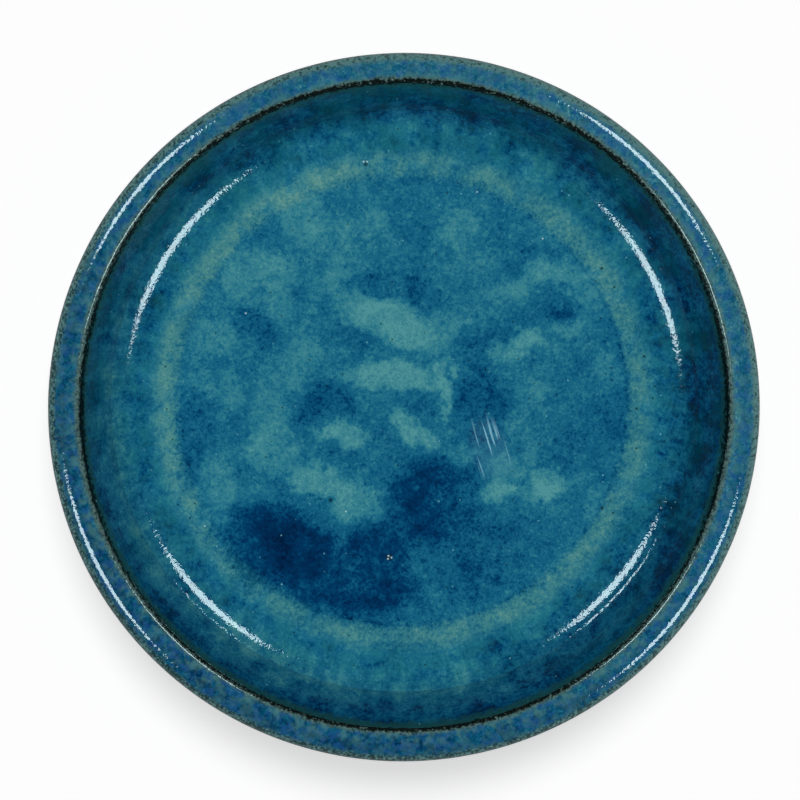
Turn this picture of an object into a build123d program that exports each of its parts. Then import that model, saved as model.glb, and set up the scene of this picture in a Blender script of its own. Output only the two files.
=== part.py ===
from build123d import *
from math import atan2, cos, radians, sin, tan
import os

# Glazed stoneware plant saucer, in millimetres, +Z up, standing on its foot ring at Z = 0.
# Three pieces that the kiln made one: the clay dish, the glaze that lines its well, and the glaze
# over its rim and outer wall. The glaze drew back from the sharp inner edge of the rim, so bare
# clay shows there between the two coats. Every piece is turned about the Z axis.

# Glazed rim and walls
rim_diameter = 165.0
saucer_height = 25.0
rim_width = 7.2
shoulder_radius = 3.5
inside_lean = 24.0
outside_lean = 25.0
edge_rounding = 0.8

# Clay floor of the well, from the wall's foot inwards
floor_thickness = 5.0
cove_width = 6.6
cove_rise = 1.4
crease_rounding = 1.6
ring_width = 6.4
ring_height = 0.8
step_width = 2.6

# Turned foot and underside
foot_height = 2.2
foot_inset = 20.5
foot_width = 7.0
foot_rounding = 0.6
foot_root = 1.0
underside_rise = 1.2
corner_rounding = 5.0

# Glaze coats: thick where it pools, thin over crests and where it stops
pool_glaze = 0.8
crest_glaze = 0.35
crease_glaze = 0.6
rim_glaze = 0.5
edge_glaze = 0.15
roll_glaze = 0.8
bare_edge = 1.0
bare_base = 6.5
crown_width = 1.4
step_softening = 6.0
crown_softening = 2.0
crease_softening = 4.0

# Radii and heights that follow from those sizes
lean_in = radians(inside_lean)
lean_out = radians(outside_lean)
rim_radius = rim_diameter / 2
edge_radius = rim_radius - rim_width
clay_top = saucer_height - rim_glaze
clay_shoulder = shoulder_radius - rim_glaze
seat_height = foot_height + floor_thickness
ring_top = seat_height + ring_height
crease_height = ring_top + cove_rise
crease_radius = edge_radius - (clay_top - crease_height) * tan(lean_in)
ring_outer_radius = crease_radius - cove_width
ring_inner_radius = ring_outer_radius - ring_width
seat_radius = ring_inner_radius - step_width
foot_outer_radius = rim_radius - foot_inset
foot_inner_radius = foot_outer_radius - foot_width
shoulder_center = (rim_radius - shoulder_radius, saucer_height - shoulder_radius)

# Depth that a coat's section reaches into the clay before the clay is cut from it
overlap = floor_thickness / 4


def outside_radius(height):
    """Radius of the clay's leaning outer wall at a height below the shoulder."""
    tangent_radius = shoulder_center[0] + clay_shoulder * cos(lean_out)
    tangent_height = shoulder_center[1] - clay_shoulder * sin(lean_out)
    return tangent_radius - (tangent_height - height) * tan(lean_out)


def inside_radius(height):
    """Radius of the clay's leaning inner wall at a height above the crease."""
    return edge_radius - (clay_top - height) * tan(lean_in)


def corner_at(section, radius, height):
    """The corner of a section that was drawn at this radius and height."""
    return section.vertices().sort_by_distance((radius, height))[0]


# Clay dish: one closed half section, from the axis across the floor, over the rim and back underneath
corner_height = foot_height + underside_rise
corner_radius = outside_radius(corner_height)
with BuildPart() as stoneware_body:
    with BuildSketch(Plane.XZ) as clay_section:
        with BuildLine():
            seat = Line((0, seat_height), (seat_radius, seat_height))
            step = Line(seat @ 1, (ring_inner_radius, ring_top))
            ring = Line(step @ 1, (ring_outer_radius, ring_top))
            cove = TangentArc(ring @ 1, (crease_radius, crease_height), tangent=(1, 0))
            inner_wall = Line(cove @ 1, (edge_radius, clay_top))
            rim = Line(inner_wall @ 1, (shoulder_center[0], clay_top))
            shoulder = CenterArc(shoulder_center, clay_shoulder, 90, -90 - outside_lean)
            outer_wall = Line(shoulder @ 1, (corner_radius, corner_height))
            underside = Line(outer_wall @ 1, (foot_outer_radius, foot_height))
            foot = Polyline(
                underside @ 1,
                (foot_outer_radius, 0),
                (foot_inner_radius, 0),
                (foot_inner_radius, foot_height),
                (0, foot_height),
            )
            Line(foot @ 1, seat @ 0)
        make_face()
        fillet(corner_at(clay_section, crease_radius, crease_height), crease_rounding)
        fillet(corner_at(clay_section, edge_radius, clay_top), edge_rounding)
        fillet(corner_at(clay_section, corner_radius, corner_height), corner_rounding)
        for sole_radius in (foot_outer_radius, foot_inner_radius):
            fillet(corner_at(clay_section, sole_radius, 0), foot_rounding)
            fillet(corner_at(clay_section, sole_radius, foot_height), foot_root)
    revolve(axis=Axis.Z)

# Glaze of the well: drawn past the clay's face, then the clay is cut from it so that they share that face
seat_glazed = seat_height + pool_glaze
ring_glazed = ring_top + crest_glaze
crease_glazed = (crease_radius - crease_glaze, crease_height + crease_glaze)
well_stop = clay_top - bare_edge
with BuildPart() as well_glaze:
    with BuildSketch(Plane.XZ) as well_section:
        with BuildLine():
            pool = Line((0, seat_glazed), (seat_radius, seat_glazed))
            slope = Line(pool @ 1, (ring_inner_radius, ring_glazed))
            crest = Line(slope @ 1, (ring_outer_radius, ring_glazed))
            hollow = TangentArc(crest @ 1, crease_glazed, tangent=(1, 0))
            run = Line(
                hollow @ 1,
                (inside_radius(well_stop) - edge_glaze * cos(lean_in), well_stop + edge_glaze * sin(lean_in)),
            )
            Polyline(
                run @ 1,
                (inside_radius(well_stop) + overlap * cos(lean_in), well_stop - overlap * sin(lean_in)),
                (crease_radius + overlap, crease_height - overlap),
                (seat_radius, seat_height - overlap),
                (0, seat_height - overlap),
                pool @ 0,
            )
        make_face()
        fillet(corner_at(well_section, seat_radius, seat_glazed), step_softening)
        fillet(corner_at(well_section, ring_inner_radius, ring_glazed), step_softening)
        fillet(corner_at(well_section, *crease_glazed), crease_softening)
    revolve(axis=Axis.Z)
    add(stoneware_body.part, mode=Mode.SUBTRACT)

# Glaze of the rim and outer wall: it crowns the rim and thickens downwards to a rolled edge above the bare base
rim_stop = edge_radius + bare_edge
crown_start = rim_stop + crown_width
crown_turn = atan2(rim_glaze - edge_glaze, crown_width)
crown_rounding = min(crown_softening, (shoulder_center[0] - crown_start) / 2 / tan(crown_turn / 2))
roll_radius = outside_radius(bare_base) + roll_glaze * cos(lean_out)
roll_height = bare_base - roll_glaze * sin(lean_out)
with BuildPart() as outer_glaze:
    with BuildSketch(Plane.XZ) as outer_section:
        with BuildLine():
            lip = Line((rim_stop, clay_top - overlap), (rim_stop, clay_top + edge_glaze))
            swell = Line(lip @ 1, (crown_start, saucer_height))
            crown = Line(swell @ 1, (shoulder_center[0], saucer_height))
            glazed_shoulder = CenterArc(shoulder_center, shoulder_radius, 90, -90 - outside_lean)
            skirt = Line(glazed_shoulder @ 1, (roll_radius, roll_height))
            Polyline(
                skirt @ 1,
                (outside_radius(bare_base) - overlap * cos(lean_out), bare_base + overlap * sin(lean_out)),
                (shoulder_center[0] - overlap, shoulder_center[1]),
                lip @ 0,
            )
        make_face()
        fillet(corner_at(outer_section, crown_start, saucer_height), crown_rounding)
        fillet(corner_at(outer_section, roll_radius, roll_height), roll_glaze / 2)
    revolve(axis=Axis.Z)
    add(stoneware_body.part, mode=Mode.SUBTRACT)

os.makedirs("parts", exist_ok=True)
stoneware_body.part.label = "stoneware_body"
well_glaze.part.label = "well_glaze"
outer_glaze.part.label = "outer_glaze"
export_step(stoneware_body.part, "parts/stoneware_body.step")
export_step(well_glaze.part, "parts/well_glaze.step")
export_step(outer_glaze.part, "parts/outer_glaze.step")
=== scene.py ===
"""Looks of a glazed stoneware plant saucer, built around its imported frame.

The saucer is turned about the Z axis. Each of its pieces is one half section in millimetres, swept round by
a Geometry Nodes tree that also frays the edges of the glaze and ripples its surface. The finishes are
procedural: a glaze that is pale where it is thin and inky where it pools, and the iron-bearing clay that
shows at its edges.
"""

import logging
import math
from dataclasses import dataclass, replace
from enum import Enum
from functools import partial

import bmesh
import bpy
from mathutils import Matrix, Vector


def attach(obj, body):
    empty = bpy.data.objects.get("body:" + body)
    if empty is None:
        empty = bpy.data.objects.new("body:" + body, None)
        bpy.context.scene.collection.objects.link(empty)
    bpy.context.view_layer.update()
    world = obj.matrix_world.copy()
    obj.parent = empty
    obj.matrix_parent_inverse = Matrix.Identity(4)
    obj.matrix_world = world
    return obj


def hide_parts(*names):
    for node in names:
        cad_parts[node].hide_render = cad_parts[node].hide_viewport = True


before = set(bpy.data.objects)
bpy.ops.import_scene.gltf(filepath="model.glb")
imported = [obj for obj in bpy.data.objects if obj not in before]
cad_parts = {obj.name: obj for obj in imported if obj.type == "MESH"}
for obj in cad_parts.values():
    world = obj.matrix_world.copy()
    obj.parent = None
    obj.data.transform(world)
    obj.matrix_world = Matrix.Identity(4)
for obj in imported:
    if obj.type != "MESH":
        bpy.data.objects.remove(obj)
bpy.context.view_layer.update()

MM = 0.001
BODY = "root"

# How far the well was turned off the rim's centre, along +Y, in millimetres
WELL_OFF_CENTER = 0.6

# A rounded corner has at least this many steps, and none turns further than this
BEND_STEPS = 3
BEND_TURN = math.radians(9)

# Distance in metres within which the points along a piece's seam are joined
SEAM_GAP = 2e-6

# How finely the noises round a piece break up, how wide the out-of-round swings are for a circle of radius 1,
# and how strongly the finer octaves of a noise show
FRAY_OCTAVES = 4.0
WOBBLE_OCTAVES = 1.0
WOBBLE_SCALE = 0.9
RIPPLE_OCTAVES = 2.0
NOISE_ROUGHNESS = 0.6

SMOOTH = {"interpolation_type": "SMOOTHSTEP"}

log = logging.getLogger("saucer")

Socket = bpy.types.NodeSocket
Colour = tuple[float, float, float, float]
Place = tuple[float, float, float]
Pairs = tuple[tuple[float, float], ...]
Tones = tuple[tuple[float, str], ...]


def linear(hex_code: str) -> Colour:
    """Turn an sRGB hex colour into linear light.

    Args:
        hex_code: six hex digits, such as "19627f".

    Returns:
        Linear red, green and blue, and an alpha of 1.
    """
    channels = [int(hex_code[i : i + 2], 16) / 255 for i in (0, 2, 4)]
    red, green, blue = (c / 12.92 if c <= 0.04045 else ((c + 0.055) / 1.055) ** 2.4 for c in channels)
    return red, green, blue, 1.0


def add_node(
    tree: bpy.types.NodeTree,
    kind: str,
    inputs: dict[str | int, object] | None = None,
    stops: Tones | Pairs | None = None,
    **settings: object,
) -> bpy.types.bpy_prop_collection:
    """Add a node, with its settings, its socket values and the links into it.

    Args:
        tree: the shader or geometry tree.
        kind: Blender's name for the kind of node.
        inputs: a value, or another node's output, for each named or numbered input; hex codes for colours.
        stops: the place of each stop of a colour ramp, with its hex code or its level of grey.
        **settings: the node's own properties.

    Returns:
        The new node's outputs.
    """
    node = tree.nodes.new(kind)
    for name, value in settings.items():
        setattr(node, name, value)
    for key, value in (inputs or {}).items():
        socket = node.inputs[key]
        if isinstance(value, Socket):
            tree.links.new(value, socket)
        else:
            socket.default_value = linear(value) if socket.type == "RGBA" else value
    if stops:
        elements = node.color_ramp.elements
        while len(elements) < len(stops):
            elements.new(1.0)
        for element, (place, shade) in zip(elements, stops):
            element.position = place
            element.color = linear(shade) if isinstance(shade, str) else (shade, shade, shade, 1.0)
    return node.outputs


@dataclass(frozen=True)
class Corner:
    """One corner of a turned section, in millimetres.

    The run that ends at the corner is divided by its spacing. Ripple is how far the surface waves there, the
    fray is how far a ragged edge wanders outwards and upwards, and the corner's circle may be off the centre
    along +Y.
    """

    radius: float
    height: float
    rounding: float = 0.0
    spacing: float = 1.0
    ripple: float = 0.0
    fray_out: float = 0.0
    fray_up: float = 0.0
    off_center: float = 0.0

    def stray(self) -> Vector:
        """How far the corner strays outwards, off the centre and upwards."""
        return Vector((self.fray_out, self.off_center, self.fray_up))


@dataclass(frozen=True)
class Station:
    """A point along a traced section, in millimetres."""

    place: Vector
    ripple: float
    stray: Vector


def trace(corners: list[Corner]) -> list[Station]:
    """Walk along a section, with an arc at each rounded corner.

    Args:
        corners: the section's corners in order.

    Returns:
        The stations from the first corner to the last.
    """
    places = [Vector((c.radius, c.height)) for c in corners]
    stations = [Station(places[0], corners[0].ripple, corners[0].stray())]
    cursor = places[0]
    for index in range(1, len(corners)):
        before, corner = corners[index - 1], corners[index]
        entry, bend = places[index], []
        if corner.rounding > 0 and index < len(corners) - 1:
            back = (places[index - 1] - places[index]).normalized()
            ahead = (places[index + 1] - places[index]).normalized()
            half = back.angle(ahead) / 2
            entry = places[index] + back * corner.rounding / math.tan(half)
            center = places[index] + (back + ahead).normalized() * corner.rounding / math.sin(half)
            turn = (math.pi - 2 * half) * (1 if back.x * ahead.y - back.y * ahead.x < 0 else -1)
            by_length = round(abs(turn) * corner.rounding / corner.spacing)
            steps = max(BEND_STEPS, by_length, round(abs(turn) / BEND_TURN))
            arm = entry - center
            bend = [center + Matrix.Rotation(turn * k / steps, 2) @ arm for k in range(1, steps + 1)]
        steps = max(1, round((entry - cursor).length / corner.spacing))
        for k in range(1, steps + 1):
            share = k / steps
            ripple = before.ripple + (corner.ripple - before.ripple) * share
            stray = before.stray().lerp(corner.stray(), share)
            stations.append(Station(cursor.lerp(entry, share), ripple, stray))
        stations += [Station(place, corner.ripple, corner.stray()) for place in bend]
        cursor = stations[-1].place
    return stations


def wheel_tree() -> bpy.types.GeometryNodeTree:
    """Build the tree that sweeps a section's points round the Z axis.

    Returns:
        A tree whose inputs are the section, its columns and rows, the widths of ripple and fray, how far out
        of round the piece is, a seed and a material.
    """
    tree = bpy.data.node_groups.new("turned_on_the_wheel", "GeometryNodeTree")
    for name, kind in (
        ("Section", "NodeSocketGeometry"),
        ("Columns", "NodeSocketInt"),
        ("Rows", "NodeSocketInt"),
        ("Ripple Width", "NodeSocketFloat"),
        ("Fray Width", "NodeSocketFloat"),
        ("Wobble", "NodeSocketFloat"),
        ("Seed", "NodeSocketFloat"),
        ("Material", "NodeSocketMaterial"),
    ):
        tree.interface.new_socket(name=name, in_out="INPUT", socket_type=kind)
    tree.interface.new_socket(name="Piece", in_out="OUTPUT", socket_type="NodeSocketGeometry")
    node = partial(add_node, tree)
    given = node("NodeGroupInput")

    # A flat grid whose columns go round the axis and whose rows follow the section
    counts = {"Vertices X": given["Columns"], "Vertices Y": given["Rows"]}
    grid = node("GeometryNodeMeshGrid", {"Size X": 1.0, "Size Y": 1.0} | counts)[0]
    here = node("GeometryNodeInputPosition")[0]
    cell = node("ShaderNodeSeparateXYZ", {0: here})
    angle = node("ShaderNodeMath", {0: cell["X"], 1: math.tau, 2: math.pi}, operation="MULTIPLY_ADD")[0]
    last_row = node("ShaderNodeMath", {0: given["Rows"], 1: 1.0}, operation="SUBTRACT")[0]
    from_first = node("ShaderNodeMath", {0: cell["Y"], 1: 0.5}, operation="ADD")[0]
    row = node("ShaderNodeMath", {0: from_first, 1: last_row}, operation="MULTIPLY")[0]
    row = node("ShaderNodeMath", {0: row}, operation="ROUND")[0]

    # The section's place, ripple and stray at this row
    ripple_there = node("GeometryNodeInputNamedAttribute", {"Name": "ripple"}, data_type="FLOAT")[0]
    stray_there = node("GeometryNodeInputNamedAttribute", {"Name": "stray"}, data_type="FLOAT_VECTOR")[0]
    sampled = [
        node(
            "GeometryNodeSampleIndex",
            {"Geometry": given["Section"], "Value": value, "Index": row},
            data_type=kind,
            domain="POINT",
        )[0]
        for value, kind in ((here, "FLOAT_VECTOR"), (stray_there, "FLOAT_VECTOR"), (ripple_there, "FLOAT"))
    ]
    place = node("ShaderNodeSeparateXYZ", {0: sampled[0]})
    stray = node("ShaderNodeSeparateXYZ", {0: sampled[1]})

    # Noise round the circumference frays the edges and leaves the piece a little out of round
    cosine = node("ShaderNodeMath", {0: angle}, operation="COSINE")[0]
    sine = node("ShaderNodeMath", {0: angle}, operation="SINE")[0]
    compass = node("ShaderNodeCombineXYZ", {"X": cosine, "Y": sine})[0]
    circle = node("ShaderNodeVectorMath", {0: compass, "Scale": place["X"]}, operation="SCALE")[0]
    scales = [
        node("ShaderNodeMath", {0: 1.0, 1: given[width]}, operation="DIVIDE")[0]
        for width in ("Fray Width", "Ripple Width")
    ]
    waves = []
    for vector, scale, octaves in (
        (circle, scales[0], FRAY_OCTAVES),
        (compass, WOBBLE_SCALE, WOBBLE_OCTAVES),
    ):
        noise = {"Vector": vector, "W": given["Seed"], "Scale": scale, "Detail": octaves}
        noise["Roughness"] = NOISE_ROUGHNESS
        noise = node("ShaderNodeTexNoise", noise, noise_dimensions="4D")[0]
        waves.append(node("ShaderNodeMath", {0: noise, 1: 2.0, 2: -1.0}, operation="MULTIPLY_ADD")[0])
    wobble = node("ShaderNodeMath", {0: waves[1], 1: given["Wobble"], 2: 1.0}, operation="MULTIPLY_ADD")[0]
    radius, height = (
        node("ShaderNodeMath", {0: waves[0], 1: stray[axis], 2: place[axis]}, operation="MULTIPLY_ADD")[0]
        for axis in ("X", "Z")
    )
    radius = node("ShaderNodeMath", {0: radius, 1: wobble}, operation="MULTIPLY")[0]
    rise = node("ShaderNodeCombineXYZ", {"Y": stray["Y"], "Z": height})[0]
    turned = node("ShaderNodeVectorMath", {0: compass, 1: radius, 2: rise}, operation="MULTIPLY_ADD")[0]
    swept = node("GeometryNodeSetPosition", {"Geometry": grid, "Position": turned})[0]
    marked = node(
        "GeometryNodeStoreNamedAttribute",
        {"Geometry": swept, "Name": "ripple", "Value": sampled[2]},
        data_type="FLOAT",
        domain="POINT",
    )[0]
    closed = node("GeometryNodeMergeByDistance", {"Geometry": marked, "Distance": SEAM_GAP})[0]

    # Ripple along the surface's normal
    swell = {"Vector": here, "W": given["Seed"], "Scale": scales[1], "Detail": RIPPLE_OCTAVES}
    swell = node("ShaderNodeTexNoise", swell, noise_dimensions="4D")[0]
    swell = node("ShaderNodeMath", {0: swell, 1: 2.0, 2: -1.0}, operation="MULTIPLY_ADD")[0]
    swell = node("ShaderNodeMath", {0: swell, 1: ripple_there}, operation="MULTIPLY")[0]
    normal = node("GeometryNodeInputNormal")[0]
    offset = node("ShaderNodeVectorMath", {0: normal, "Scale": swell}, operation="SCALE")[0]
    rippled = node("GeometryNodeSetPosition", {"Geometry": closed, "Offset": offset})[0]
    smooth = node("GeometryNodeSetShadeSmooth", {"Geometry": rippled})[0]
    dressed = node("GeometryNodeSetMaterial", {"Geometry": smooth, "Material": given["Material"]})[0]
    real = node("GeometryNodeRealizeInstances", {"Geometry": dressed})[0]
    node("NodeGroupOutput", {"Piece": real})
    return tree


@dataclass(frozen=True)
class Turning:
    """How a piece is turned: columns round the axis, widths in millimetres, and a fixed seed."""

    columns: int
    ripple_width: float
    fray_width: float
    wobble: float = 0.0008
    seed: float = 1.0


def turn_piece(
    name: str,
    corners: list[Corner],
    turning: Turning,
    tree: bpy.types.GeometryNodeTree,
    material: bpy.types.Material,
) -> bpy.types.Object:
    """Sweep a section round the Z axis into a closed, outward-facing mesh.

    Args:
        name: the piece's name.
        corners: its half section, in millimetres.
        turning: columns, widths and seed.
        tree: the tree from wheel_tree.
        material: its finish.

    Returns:
        The finished object, at the origin, with no modifier.
    """
    stations = trace(corners)
    section = bpy.data.meshes.new(name + "_section")
    section.from_pydata([(s.place.x * MM, 0.0, s.place.y * MM) for s in stations], [], [])
    ripple = section.attributes.new("ripple", "FLOAT", "POINT")
    ripple.data.foreach_set("value", [s.ripple * MM for s in stations])
    stray = section.attributes.new("stray", "FLOAT_VECTOR", "POINT")
    stray.data.foreach_set("vector", [v * MM for s in stations for v in s.stray])
    blank = bpy.data.objects.new(name + "_blank", section)
    bpy.context.scene.collection.objects.link(blank)
    modifier = blank.modifiers.new("wheel", "NODES")
    modifier.node_group = tree
    values = {
        "Columns": turning.columns + 1,
        "Rows": len(stations),
        "Ripple Width": turning.ripple_width * MM,
        "Fray Width": turning.fray_width * MM,
        "Wobble": turning.wobble,
        "Seed": turning.seed,
        "Material": material,
    }
    for item in tree.interface.items_tree:
        if item.name in values:
            modifier[item.identifier] = values[item.name]
    depsgraph = bpy.context.evaluated_depsgraph_get()
    mesh = bpy.data.meshes.new_from_object(blank.evaluated_get(depsgraph), depsgraph=depsgraph)
    bpy.data.objects.remove(blank)
    shell = bmesh.new()
    shell.from_mesh(mesh)
    if shell.calc_volume(signed=True) < 0:
        bmesh.ops.reverse_faces(shell, faces=shell.faces)
    shell.to_mesh(mesh)
    shell.free()
    mesh.name = name
    piece = bpy.data.objects.new(name, mesh)
    bpy.context.scene.collection.objects.link(piece)
    log.info("%s: %d faces, %d rows", name, len(mesh.polygons), len(stations))
    return piece


class Tone(Enum):
    """How far a patch of glaze is from the mean tone: pale where it is thin, ink where it pools."""

    PALE = 0.37
    LIGHT = 0.18
    THIN = 0.07
    DIM = -0.08
    DARK = -0.17
    POOL = -0.34
    INK = -0.43


@dataclass(frozen=True)
class Patch:
    """A patch of the floor: its centre, half sizes and turn from +X, in millimetres and degrees."""

    across: float
    up: float
    length: float
    width: float
    turn: float = 0.0


FLOOR_PATCHES = {
    Tone.THIN: (Patch(0.0, 30.0, 46.0, 22.0),),
    Tone.PALE: (
        Patch(-1.4, 18.2, 10.8, 4.1, -20),
        Patch(-1.6, 6.2, 10.3, 3.0, -4),
        Patch(10.2, 3.0, 6.4, 2.1, -78),
        Patch(2.6, -6.2, 7.0, 2.9, -48),
        Patch(-14.4, -7.4, 6.0, 2.7, 8),
        Patch(-11.4, -23.9, 6.4, 4.7),
        Patch(-21.5, -18.3, 7.0, 3.6, -35),
        Patch(26.6, 12.4, 6.6, 3.0, 28),
        Patch(34.6, -18.4, 4.0, 3.6),
        Patch(23.2, -20.5, 3.3, 3.0),
    ),
    Tone.LIGHT: (
        Patch(-13.2, 21.3, 4.3, 2.4, -30),
        Patch(-15.0, 33.5, 3.2, 9.0),
        Patch(-6.0, 23.8, 9.0, 2.2, -14),
        Patch(10.4, 20.4, 6.4, 2.8),
        Patch(38.4, 19.0, 4.4, 2.2, 10),
        Patch(44.0, 26.4, 2.6, 5.0, 30),
        Patch(-9.5, 42.5, 6.0, 3.0),
        Patch(-43.0, 4.4, 6.4, 4.0),
        Patch(47.0, -24.0, 3.4, 5.0, -30),
        Patch(-31.5, -1.5, 13.0, 5.0, 83),
        Patch(-23.6, 10.5, 6.4, 4.0, 35),
        Patch(-23.4, 43.0, 5.8, 5.3),
        Patch(-36.0, 31.8, 7.8, 4.6, 25),
        Patch(-44.2, 16.6, 6.0, 5.0),
        Patch(-29.0, 27.0, 4.0, 9.0),
        Patch(13.4, 41.8, 6.2, 3.6),
        Patch(38.1, 31.0, 6.4, 3.6, -10),
        Patch(27.0, 28.0, 9.4, 2.6, 22),
        Patch(30.0, 0.0, 9.0, 2.8, 60),
        Patch(30.0, -20.4, 6.4, 2.2),
        Patch(26.5, -13.6, 6.4, 4.0, 20),
        Patch(48.8, 8.2, 3.0, 3.2),
        Patch(-44.3, -18.8, 5.0, 6.0),
        Patch(-31.1, -9.5, 5.5, 6.0),
        Patch(13.9, -12.0, 4.3, 2.0),
    ),
    Tone.DARK: (
        Patch(-11.6, 16.4, 6.0, 4.8),
        Patch(-34.7, 18.4, 6.8, 4.2, -22),
        Patch(-4.6, 28.8, 9.0, 3.2, -3),
        Patch(6.0, 24.4, 5.7, 3.4, -30),
        Patch(29.0, 34.0, 7.4, 3.6, 3),
        Patch(19.2, 13.0, 6.4, 6.4),
        Patch(31.5, 20.0, 7.4, 3.0, 15),
        Patch(36.0, 24.4, 5.4, 3.4),
        Patch(19.2, -1.8, 6.6, 10.0),
        Patch(-17.8, 0.4, 6.8, 3.6, 10),
        Patch(5.4, -2.8, 3.2, 4.4),
    ),
    Tone.DIM: (
        Patch(2.6, 40.6, 5.8, 5.0),
        Patch(-26.6, 23.9, 4.0, 5.0),
        Patch(-16.3, -13.2, 8.4, 2.7, 5),
        Patch(-49.3, -7.0, 5.2, 9.3),
        Patch(46.0, -5.0, 6.0, 10.4),
    ),
}

FLOOR_POOLS = {
    Tone.INK: (Patch(-27.0, -34.5, 16.5, 10.4, -32),),
    Tone.POOL: (
        Patch(-37.0, -36.0, 7.4, 8.4, 30),
        Patch(-11.0, -44.6, 18.0, 9.6, -8),
        Patch(5.4, -23.8, 16.0, 12.4, 4),
        Patch(-7.0, -36.0, 12.0, 9.0),
    ),
    Tone.DARK: (Patch(6.0, -36.6, 29.0, 13.4),),
}


@dataclass(frozen=True)
class Mark:
    """A small mark on the glaze, a flaw or a painted glint: its centre and half width, in millimetres."""

    across: float
    up: float
    width: float


PITS = (
    Mark(-8.8, 56.3, 0.65),
    Mark(-3.3, -36.9, 1.1),
    Mark(-17.2, -23.2, 0.75),
)

# Painted highlights: small pale glints painted into the well glaze's colour, on its blisters and on the floor
PAINTED_GLINTS = (
    Mark(-9.3, 56.9, 0.34),
    Mark(-8.5, 56.9, 0.3),
    Mark(-3.5, -36.6, 0.34),
    Mark(-3.6, -37.3, 0.34),
    Mark(-2.8, -37.0, 0.34),
    Mark(-13.6, -25.9, 0.3),
    Mark(-37.1, 21.3, 0.3),
    Mark(32.9, 38.8, 0.3),
    Mark(17.4, 49.8, 0.28),
    Mark(-47.1, -29.2, 0.3),
)

IRON_SPOTS = (
    Mark(57.1, 10.9, 0.5),
    Mark(59.7, 3.8, 0.35),
    Mark(59.3, 0.9, 0.35),
    Mark(55.4, -1.5, 0.45),
    Mark(55.4, -11.0, 0.4),
    Mark(47.4, -25.3, 0.55),
    Mark(50.0, -26.5, 0.4),
    Mark(46.9, 31.8, 0.5),
    Mark(49.9, 27.3, 0.4),
    Mark(-56.1, 8.8, 0.35),
    Mark(-50.6, -27.2, 0.35),
)


@dataclass(frozen=True)
class Edge:
    """A soft edge: the levels at which a cover begins and is full, and its most and least."""

    begins: float
    full: float
    most: float = 1.0
    least: float = 0.0

    def over(self, level: Socket) -> dict[str, object]:
        """The inputs of a node that maps a level through the edge.

        Args:
            level: the level.

        Returns:
            The inputs by name.
        """
        ends = {"From Min": self.begins, "From Max": self.full, "To Min": self.least, "To Max": self.most}
        return {"Value": level} | ends


@dataclass(frozen=True)
class Side:
    """A side of the saucer, which faces along +X by its east part and along +Y by its north part.

    Its level goes from 0 to 1 between two cosines of the angle to that way, and the balance is taken off it.
    """

    east: float
    north: float
    none: float = 0.0
    full: float = 1.0
    balance: float = 0.0


UPPER = Side(0.0, 1.0)
LOWER = Side(0.0, -1.0)

Shares = tuple[tuple[Side, float], ...]


@dataclass(frozen=True)
class Lumps:
    """A layer of cloudy noise: its lumps' width in millimetres, how far it sways a level, a seed, a twist,
    and how finely it breaks up; lumps that don't break up look like short strokes."""

    width: float
    sway: float
    seed: float
    twist: float = 0.0
    octaves: float = 3.0


@dataclass(frozen=True)
class Veil:
    """Clusters of another colour: their width in millimetres, a seed, the noise levels between which they
    begin and cover, how finely they break up, their share along the section, and the side they lie on."""

    width: float
    seed: float
    edge: Edge
    octaves: float = 3.0
    zones: Pairs | None = None
    side: Side | None = None


@dataclass(frozen=True)
class Runs:
    """Streaks that the glaze left as it ran: their width in millimetres, a seed, the radius at which they
    have that width, how much of the way along a run counts, and how finely they break up."""

    width: float
    seed: float
    radius: float
    along: Place
    octaves: float = 4.0


@dataclass(frozen=True)
class Specks:
    """Tiny specks at random: the mean distance between possible ones in millimetres, the half widths of a
    speck and of its core as shares, and the share of the possible ones that is left out."""

    spacing: float
    reach: float
    rarity: float
    core: float = 0.4


@dataclass(frozen=True)
class Scuff:
    """A bundle of fine scratches on a patch: their length and spacing in millimetres, and their edges."""

    patch: Patch = Patch(20.5, -11.2, 9.6, 5.4, -72.0)
    scratch_length: float = 16.0
    scratch_spacing: float = 0.62
    scratch_edge: Edge = Edge(0.6, 0.68, least=0.06)
    patch_edge: Edge = Edge(0.0, 0.5, 0.85)


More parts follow.
